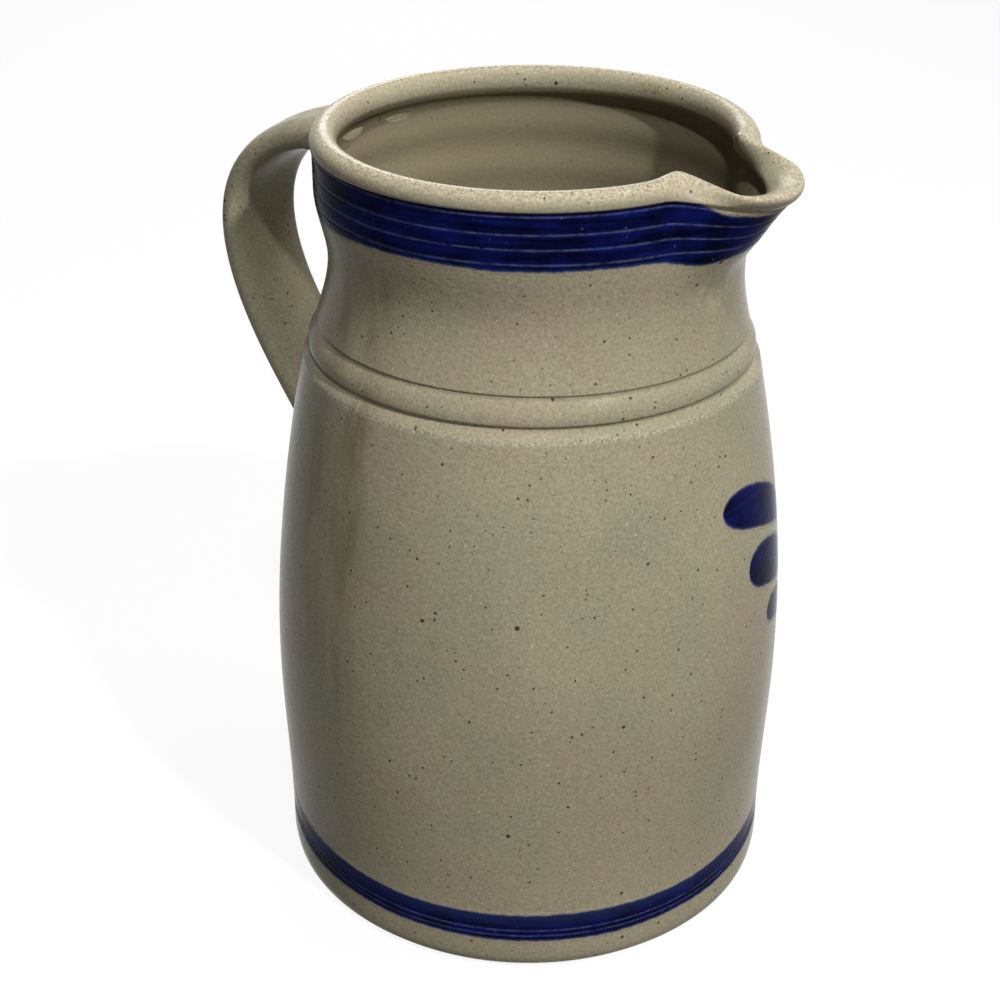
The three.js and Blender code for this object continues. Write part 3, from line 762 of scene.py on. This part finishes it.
class PITCHER_OT_thrown_body(bpy.types.Operator):
    """Throws the body: foot, belly, beads, neck, rolled rim and pulled spout in one piece of clay"""

    bl_idname = "pitcher.thrown_body"
    bl_label = "Thrown body"

    def execute(self, context):
        settings = context.scene.pitcher
        wall = ThrownWall(settings)
        mesh = turned(self.profile(wall), closed=False)
        self.shape(mesh, wall)
        material = salt_glazed_stoneware(settings)
        place_piece("pot_body", mesh, material, "thrown_body")
        return {"FINISHED"}

    @staticmethod
    def profile(wall):
        """The clay's section from the middle of the base, out, up, over the rim and down inside."""
        size = wall.size
        points = [Vector((size.foot_radius * i / BASE_STEPS, 0, 0)) for i in range(BASE_STEPS)]
        points += [
            Vector((wall.radius(height), 0, height))
            for height in wall.rows(0, wall.under_rim, ROW_STEP)
        ]
        points += wall.rim_points()
        top = points[-1].z
        bottom = size.floor + size.floor_corner
        count = math.ceil((top - bottom) / INSIDE_STEP)
        for i in range(1, count):
            height = top + (bottom - top) * i / count
            ring = size.ring_height * math.sin(math.tau * height / size.ring_pitch)
            groove = size.rim_groove * bell(height - top + size.rim_groove_span / 2, size.rim_groove_span)
            inner = wall.plain_radius(height) - size.thickness + ring + groove
            points.append(Vector((inner, 0, height)))
        inner = wall.plain_radius(bottom) - size.thickness
        start = Vector((inner, 0, bottom))
        end = Vector((inner - size.floor_corner, 0, size.floor))
        pull = size.floor_corner * ROUND_PULL
        points += interpolate_bezier(
            start, start - Vector((0, 0, pull)), end + Vector((pull, 0, 0)), end, CORNER_STEPS
        )
        points += [Vector((end.x * (1 - i / BASE_STEPS), 0, size.floor)) for i in range(1, BASE_STEPS + 1)]
        return points

    @staticmethod
    def shape(mesh, wall):
        """Moves the turned points to their place and notes where the finish differs and where light and
        shade are painted.
        """
        layers = {name: mesh.verts.layers.float.new(name) for name in FINISHES_AND_PAINTED_LIGHT}
        for corner in mesh.verts:
            radius = math.hypot(corner.co.x, corner.co.y)
            angle = crowded(math.atan2(corner.co.y, corner.co.x))
            height = corner.co.z
            outside = radius > wall.plain_radius(height) - wall.size.thickness / 2
            for name, value in finish_and_painted_light(wall, radius, angle, height, outside).items():
                corner[layers[name]] = value
            corner.co = wall.shaped(radius, angle, height, outside)


def finish_and_painted_light(wall, radius, angle, height, outside):
    """How far each place on the body is stained; pooled with painted shade; worn with a painted highlight;
    lined with painted shade; sandy, rusty or bare.
    """
    degrees = math.degrees(angle)
    facing = wall.rim_facing(radius, height)
    values = dict.fromkeys(FINISHES_AND_PAINTED_LIGHT, 0.0)
    if facing is not None:
        values["sandy"] = mapped(facing, *SANDY_START) * mapped(facing, *SANDY_END)
        values["rust"] = bell(degrees - RUST_ANGLE, RUST_SPREAD)
        values["rust"] *= bell(facing - RUST_FACING, RUST_FACING_SPREAD)
    elif outside:
        streak = sum(strength * bell(degrees - place, span) for place, span, strength in STREAKS)
        values["stain"] = streak * mapped(height, *STREAKS_START) * mapped(height, *STREAKS_END)
        # Glaze pooled along the scored lines, and painted shade there
        values["pool"] = sum(bell(height - line, wall.size.score_width / 3) for line in wall.bead_lines)
        # Glaze worn thin, and a painted highlight, along the shoulder's edge
        values["worn_edge_and_highlight"] = bell(height - wall.shoulder_height, WORN_EDGE_AND_HIGHLIGHT_SPAN)
    else:
        # Browner lining, and painted shade inside the pot
        values["lined_and_shaded"] = 1.0
    if height < MM / 2:
        values["bare"] = 1.0
    return values


class PITCHER_OT_strap_handle(bpy.types.Operator):
    """Pulls the strap handle and presses it on at the collar and the belly"""

    bl_idname = "pitcher.strap_handle"
    bl_label = "Strap handle"

    def execute(self, context):
        settings = context.scene.pitcher
        wall = ThrownWall(settings)
        size = settings.handle
        mesh = bmesh.new()
        bmesh.ops.create_cone(
            mesh, cap_ends=True, cap_tris=True, segments=STRAP_SIDES, radius1=1, radius2=1, depth=1
        )
        sides = [edge for edge in mesh.edges if abs(edge.verts[0].co.z - edge.verts[1].co.z) > 0.5]
        bmesh.ops.subdivide_edges(mesh, edges=sides, cuts=STRAP_STEPS, use_grid_fill=True)
        line = self.centre_line(wall, size)
        stain = mesh.verts.layers.float.new("stain")
        stain_place, stain_span, strength = STRAP_STAIN
        for corner in mesh.verts:
            along = clamp(corner.co.z + 0.5)
            corner[stain] = strength * bell(along - stain_place, stain_span)
            corner.co = self.strap_point(wall, size, line, along, corner.co.xy)
        bmesh.ops.recalc_face_normals(mesh, faces=mesh.faces)
        material = salt_glazed_stoneware(settings)
        place_piece("pulled_handle", mesh, material, "strap_handle")
        return {"FINISHED"}

    @staticmethod
    def centre_line(wall, size):
        """The four control points of the handle's centre line."""
        root_radius = wall.size.collar_radius - size.sink
        root_height = wall.rim_height - size.root_drop
        tail_height = wall.shoulder_height - size.tail_drop
        tail_radius = wall.plain_radius(tail_height) - size.sink
        return (
            Vector((-root_radius, 0, root_height)),
            Vector((-root_radius - size.root_pull, 0, root_height + size.root_rise)),
            Vector((-tail_radius - size.tail_pull, 0, tail_height + size.tail_rise)),
            Vector((-tail_radius, 0, tail_height)),
        )

    @staticmethod
    def strap_point(wall, size, line, along, spot_round):
        """A point of the strap: how far along it is, and its place in a round section of radius 1."""
        centre, tangent = along_arc(line, along)
        across = Vector((0, -1, 0))
        outward = tangent.cross(across)
        root = (1 - along) ** size.end_sharpness
        tail = along ** size.end_sharpness
        half_width = (size.width + size.root_spread * root + size.tail_spread * tail) / 2
        half_thickness = (size.thickness + size.root_thickening * root + size.tail_thickening * tail) / 2
        flat, thick = (
            math.copysign(abs(place) ** squareness, place)
            for place, squareness in zip(spot_round, STRAP_SQUARENESS)
        )
        bow = size.crown * (1 - flat * flat)
        groove = size.pull_groove * bell(abs(flat) - GROOVE_PLACE, GROOVE_SPAN) if thick > 0 else 0
        spot = centre + across * (half_width * flat) + outward * (half_thickness * thick + bow - groove)
        clear = math.hypot(spot.x, spot.y) - wall.plain_radius(spot.z)
        smear = size.fillet * math.exp(-max(clear, 0) / size.fillet_span) * (1 - thick) / 2
        spot += (across * flat + outward * thick).normalized() * smear
        radius = math.hypot(spot.x, spot.y)
        least = wall.plain_radius(spot.z) - size.bedding
        if radius < least:
            spot.xy *= least / radius
        return spot


def tucked(slip, inward):
    """Height of the slip over the clay: a film in the colour, tucked under the clay outside it."""
    return slip.film * (1 - 2 * mapped(inward, -slip.margin / 4, -slip.margin))


def slip_band(wall, low, high, edges, name, node, material):
    """One ring of slip on the wall. edges gives the colour's lower and upper edge at an angle."""
    slip = wall.slip
    rows = wall.rows(low, high, ROW_STEP / 3)
    outer = [Vector((wall.radius(height), 0, height)) for height in rows]
    inner = [Vector((wall.plain_radius(height) - slip.backing, 0, height)) for height in reversed(rows[::6])]
    mesh = turned(outer + inner, closed=True)
    inward = mesh.verts.layers.float.new("inward")
    score = mesh.verts.layers.float.new("score")
    pale = mesh.verts.layers.float.new("pale")
    for corner in mesh.verts:
        radius = math.hypot(corner.co.x, corner.co.y)
        angle = crowded(math.atan2(corner.co.y, corner.co.x))
        height = corner.co.z
        bottom, top = edges(angle)
        corner[inward] = min(height - bottom, top - height)
        corner[score] = clamp(sum(bell(height - line, slip.score_width / 2) for line in wall.band_scores))
        if height < wall.belly_height:
            corner[pale] = slip.foot_paleness * mapped(height, wall.band_scores[-1], wall.foot_high)
        corner.co = wall.shaped(radius + tucked(slip, corner[inward]), angle, height)
    place_piece(name, mesh, material, node)


class PITCHER_OT_slip_bands(bpy.types.Operator):
    """Lays the two cobalt bands round the collar and the foot"""

    bl_idname = "pitcher.slip_bands"
    bl_label = "Slip bands"

    def execute(self, context):
        settings = context.scene.pitcher
        wall = ThrownWall(settings)
        slip = settings.slip
        material = cobalt_slip(settings)

        def waver(angle, seed):
            return noise.noise(Vector((3 * math.cos(angle), 3 * math.sin(angle), seed)))

        def collar_edges(angle):
            degrees = math.degrees(angle)
            sag = slip.collar_sag * bell(degrees - SAG_ANGLE, SAG_SPREAD)
            bottom = wall.collar_low - sag + slip.collar_waver * waver(angle, 1.5)
            bare = mapped(degrees, *BARE_START) * mapped(degrees, *BARE_END)
            return bottom, wall.under_rim + slip.margin * (1 - bare) - slip.collar_bare * bare

        def foot_edges(angle):
            bottom = wall.foot_low + slip.foot_waver * waver(angle, 4.5)
            return bottom, wall.foot_high + slip.foot_waver * waver(angle, 7.5)

        low, high = wall.collar_low - slip.collar_sag - slip.margin, wall.under_rim
        slip_band(wall, low, high, collar_edges, "collar_cobalt_band", "collar_slip_band", material)
        low, high = wall.foot_low - slip.margin, wall.foot_high + slip.margin
        slip_band(wall, low, high, foot_edges, "foot_cobalt_band", "foot_slip_band", material)
        return {"FINISHED"}


def leaf_half_width(share_along):
    """Half width of a leaf, from 0 at its blunt end over 1 at its widest to 0 at its point."""
    if not 0 < share_along < 1:
        return 0.0
    if share_along < LEAF_WIDEST:
        return math.sqrt(1 - (1 - share_along / LEAF_WIDEST) ** 3)
    rest = (share_along - LEAF_WIDEST) / (1 - LEAF_WIDEST)
    return (1 - rest * rest) ** 0.8


class PITCHER_OT_brushed_leaves(bpy.types.Operator):
    """Brushes the spray of cobalt leaves on the belly"""

    bl_idname = "pitcher.brushed_leaves"
    bl_label = "Brushed leaves"

    def execute(self, context):
        settings = context.scene.pitcher
        wall = ThrownWall(settings)
        slip = settings.slip
        material = cobalt_slip(settings)
        height = wall.belly_height + slip.spray_rise
        for i, row in enumerate(("lower", "middle", "upper")):
            for side, hand in ((-1, "left"), (1, "right")):
                mesh = self.leaf(wall, height, slip.leaf_lengths[i], slip.leaf_widths[i], side)
                place_piece(f"cobalt_leaf_{row}_{hand}", mesh, material, f"{row}_leaf_{hand}")
            height += slip.leaf_steps[i]
        return {"FINISHED"}

    @staticmethod
    def leaf(wall, tip_height, reach, width, side):
        """A brush stroke on the belly, from its point at the stem out to its blunt end."""
        slip = wall.slip

        def heading(slope):
            return Vector((math.cos(slope), math.sin(slope)))

        start = Vector((slip.stem_gap, tip_height))
        end = start + reach * heading(slip.leaf_slope)
        first = start + reach / 3 * heading(slip.leaf_tip_slope)
        second = end - reach / 3 * heading(slip.leaf_end_slope)
        mesh = bmesh.new()
        bmesh.ops.create_grid(mesh, x_segments=LEAF_STEPS, y_segments=LEAF_ROWS, size=1)
        inward = mesh.verts.layers.float.new("inward")
        over = slip.margin / reach
        for corner in mesh.verts:
            along = -over + (1 + 2 * over) * (corner.co.x + 1) / 2
            aside = corner.co.y * (width / 2 + slip.margin)
            spot, run = along_arc((start, first, second, end), along)
            spot += Vector((-run.y, run.x)) * aside
            corner[inward] = leaf_inward(reach, width, along, aside)
            angle = slip.spray_angle + side * spot.x / wall.size.belly_radius
            corner.co = wall.shaped(wall.radius(spot.y) + tucked(slip, corner[inward]), angle, spot.y)
        outside = [face for face in mesh.faces if max(v[inward] for v in face.verts) < -slip.margin]
        bmesh.ops.delete(mesh, geom=outside, context="FACES")
        bmesh.ops.recalc_face_normals(mesh, faces=mesh.faces)
        face = next(iter(mesh.faces))
        if face.normal.dot(face.calc_center_median() * Vector((1, 1, 0))) < 0:
            bmesh.ops.reverse_faces(mesh, faces=mesh.faces)
        bmesh.ops.solidify(mesh, geom=mesh.faces, thickness=slip.backing)
        return mesh


def leaf_inward(reach, width, along, aside):
    """Distance inside the leaf's edge, negative outside it."""
    blunt = 1 - along
    step = 0.01
    half = width / 2 * leaf_half_width(blunt)
    if half == 0:
        over = max(-blunt, blunt - 1, 0) * reach
        return -math.hypot(over, aside)
    slope = width / 2 * (leaf_half_width(blunt + step) - leaf_half_width(blunt - step)) / (2 * step * reach)
    return (half - abs(aside)) / math.hypot(1, slope)


# Camera, fitted to the photograph: its place round the pot and its turn
CAMERA_AZIMUTH = math.radians(34)
CAMERA_DISTANCE = 0.4131
CAMERA_HEIGHT = 0.3299
CAMERA_PITCH = math.radians(28.107)
CAMERA_YAW = math.radians(1.145)
CAMERA_ROLL = math.radians(0.312)
CAMERA_LENS = 59.1
SENSOR_WIDTH = 36

# Soft lamps: name, azimuth and elevation in degrees, distance and size in metres, power in watts
LAMPS = (
    ("side_lamp", 74, 46, 1.3, 0.07, 12.0),
    ("ceiling_lamp", 36, 61, 1.2, 0.08, 5.0),
    ("skylight", 150, 75, 1.2, 0.5, 6.5),
    ("window", 34, 6, 1.6, 0.3, 3.8),
    ("back_lamp", 220, 25, 1.6, 0.6, 6.0),
)
LAMP_AIM_HEIGHT = 0.11
WORLD_LIGHT = 0.03
FLOOR_SIZE = 4.0
FLOOR_COLOUR = "#5c5c5c"
FLOOR_LIFT = 0.9


def background_rays(tree):
    """1 for the rays that see the background: from the camera, in a reflection or through glass."""
    rays = add(tree, "LightPath").node.outputs
    seen = add(tree, "Math", (rays["Is Camera Ray"], rays["Is Glossy Ray"]), operation="MAXIMUM")
    return add(tree, "Math", (seen, rays["Is Transmission Ray"]), operation="MAXIMUM")


class PITCHER_OT_stage(bpy.types.Operator):
    """Sets out the pale floor, the soft lamps and the camera"""

    bl_idname = "pitcher.stage"
    bl_label = "Stage"

    def execute(self, context):
        scene = context.scene
        scene.view_settings.view_transform = "Standard"
        self.floor(scene)
        self.world(scene)
        for name, azimuth, elevation, distance, size, power in LAMPS:
            lamp = bpy.data.lights.new(name, "AREA")
            lamp.shape = "DISK"
            lamp.size = size
            lamp.energy = power
            holder = bpy.data.objects.new(name, lamp)
            a, e = math.radians(azimuth), math.radians(elevation)
            back = Vector((math.sin(a) * math.cos(e), -math.cos(a) * math.cos(e), math.sin(e)))
            holder.location = Vector((0, 0, LAMP_AIM_HEIGHT)) + back * distance
            holder.rotation_euler = (-back).to_track_quat("-Z", "Y").to_euler()
            scene.collection.objects.link(holder)
        self.camera(scene)
        return {"FINISHED"}

    @staticmethod
    def floor(scene):
        mesh = bmesh.new()
        bmesh.ops.create_grid(mesh, x_segments=1, y_segments=1, size=FLOOR_SIZE)
        data = bpy.data.meshes.new("pale_floor")
        mesh.to_mesh(data)
        mesh.free()
        material, tree, shader, _ = new_material("pale_floor")
        shader.inputs["Base Color"].default_value = linear(FLOOR_COLOUR)
        shader.inputs["Roughness"].default_value = 0.9
        shader.inputs["Specular IOR Level"].default_value = 0.0
        lift = add(tree, "Math", (background_rays(tree), FLOOR_LIFT), operation="MULTIPLY")
        shader.inputs["Emission Color"].default_value = (1, 1, 1, 1)
        tree.links.new(lift, shader.inputs["Emission Strength"])
        data.materials.append(material)
        floor = bpy.data.objects.new("pale_floor", data)
        scene.collection.objects.link(floor)

    @staticmethod
    def world(scene):
        scene.world = scene.world or bpy.data.worlds.new("studio")
        scene.world.use_nodes = True
        tree = scene.world.node_tree
        sky = tree.nodes["Background"]
        sky.inputs["Color"].default_value = (1, 1, 1, 1)
        strength = add(tree, "MapRange", (background_rays(tree), 0, 1, WORLD_LIGHT, 1))
        tree.links.new(strength, sky.inputs["Strength"])

    @staticmethod
    def camera(scene):
        camera = bpy.data.cameras.new("camera")
        camera.sensor_width = SENSOR_WIDTH
        camera.lens = CAMERA_LENS
        holder = bpy.data.objects.new("camera", camera)
        holder.location = (
            CAMERA_DISTANCE * math.sin(CAMERA_AZIMUTH),
            -CAMERA_DISTANCE * math.cos(CAMERA_AZIMUTH),
            CAMERA_HEIGHT,
        )
        aim = (
            Matrix.Rotation(CAMERA_AZIMUTH + CAMERA_YAW, 3, "Z")
            @ Matrix.Rotation(math.pi / 2 - CAMERA_PITCH, 3, "X")
            @ Matrix.Rotation(CAMERA_ROLL, 3, "Z")
        )
        holder.rotation_euler = aim.to_euler()
        scene.collection.objects.link(holder)
        scene.camera = holder


class PITCHER_PT_panel(bpy.types.Panel):
    """Lists the pitcher's steps in the sidebar"""

    bl_idname = "PITCHER_PT_panel"
    bl_label = "Salt-glazed pitcher"
    bl_space_type = "VIEW_3D"
    bl_region_type = "UI"
    bl_category = "Pitcher"

    def draw(self, context):
        for step in STEPS:
            self.layout.operator(step.bl_idname)


STEPS = (
    PITCHER_OT_thrown_body,
    PITCHER_OT_strap_handle,
    PITCHER_OT_slip_bands,
    PITCHER_OT_brushed_leaves,
    PITCHER_OT_stage,
)
GROUPS = (WallSizes, SpoutSizes, HandleSizes, SlipSizes, GlazeColours, PitcherSettings)


def register():
    for item in (*GROUPS, *STEPS, PITCHER_PT_panel):
        bpy.utils.register_class(item)
    bpy.types.Scene.pitcher = bpy.props.PointerProperty(type=PitcherSettings)


def unregister():
    del bpy.types.Scene.pitcher
    for item in reversed((*GROUPS, *STEPS, PITCHER_PT_panel)):
        bpy.utils.unregister_class(item)


def main():
    register()
    bpy.ops.pitcher.thrown_body()
    bpy.ops.pitcher.strap_handle()
    bpy.ops.pitcher.slip_bands()
    bpy.ops.pitcher.brushed_leaves()
    bpy.ops.pitcher.stage()


if __name__ == "__main__":
    main()
